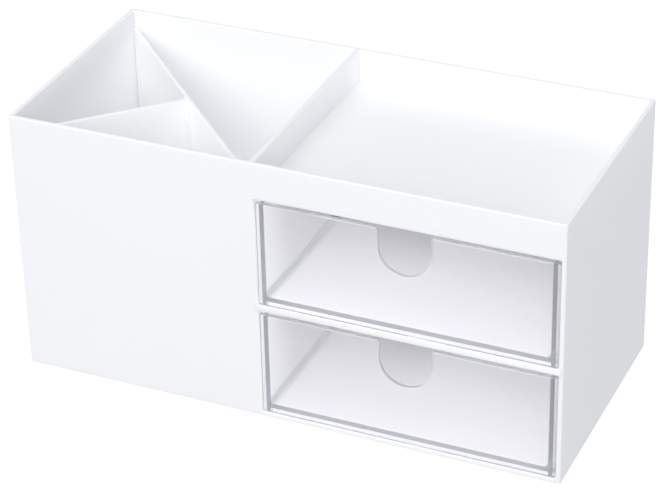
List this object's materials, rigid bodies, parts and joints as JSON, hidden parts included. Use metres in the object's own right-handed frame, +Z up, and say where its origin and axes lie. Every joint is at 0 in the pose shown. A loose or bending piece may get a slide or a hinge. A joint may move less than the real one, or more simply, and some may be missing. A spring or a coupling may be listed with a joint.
{
  "type": "desk organizer",
  "caption": "Free-standing desk organizer with a divided pen bin, an open top tray and clear pull-out drawers with finger notches.",
  "frame": {"origin": "under the middle of the housing, on the surface that the foot pads stand on", "axes": "+Z up; the drawers and their finger notches face -Y; +X runs along the long side, from the pen bin to the drawers"},
  "size_m": [0.242, 0.11, 0.1206],
  "materials": {
    "white_plastic": "smooth moulded, softly glossy",
    "divider_plastic": "smooth moulded, softly glossy",
    "clear_plastic": "transparent, polished",
    "pad_rubber": "matt"
  },
  "bodies": {
    "housing_body": {"housing": "white_plastic", "base_panel": "white_plastic", "drawer_shelf": "white_plastic", "front_left_foot": "pad_rubber", "front_right_foot": "pad_rubber", "rear_left_foot": "pad_rubber", "rear_right_foot": "pad_rubber"},
    "upper_drawer_body": {"upper_drawer": "clear_plastic"},
    "lower_drawer_body": {"lower_drawer": "clear_plastic"},
    "long_divider_body": {"long_divider": "divider_plastic"},
    "short_divider_body": {"short_divider": "divider_plastic"}
  },
  "joints": [
    {"name": "upper_drawer_slide", "type": "slide", "parent": "housing_body", "child": "upper_drawer_body", "axis": [0, -1, 0], "range_m": [0, 0.088]},
    {"name": "lower_drawer_slide", "type": "slide", "parent": "housing_body", "child": "lower_drawer_body", "axis": [0, -1, 0], "range_m": [0, 0.088]},
    {"name": "long_divider_lift", "type": "slide", "parent": "housing_body", "child": "long_divider_body", "axis": [0, 0, 1], "range_m": [0, 0.12]},
    {"name": "short_divider_lift", "type": "slide", "parent": "housing_body", "child": "short_divider_body", "axis": [0, 0, 1], "range_m": [0, 0.12]}
  ]
}
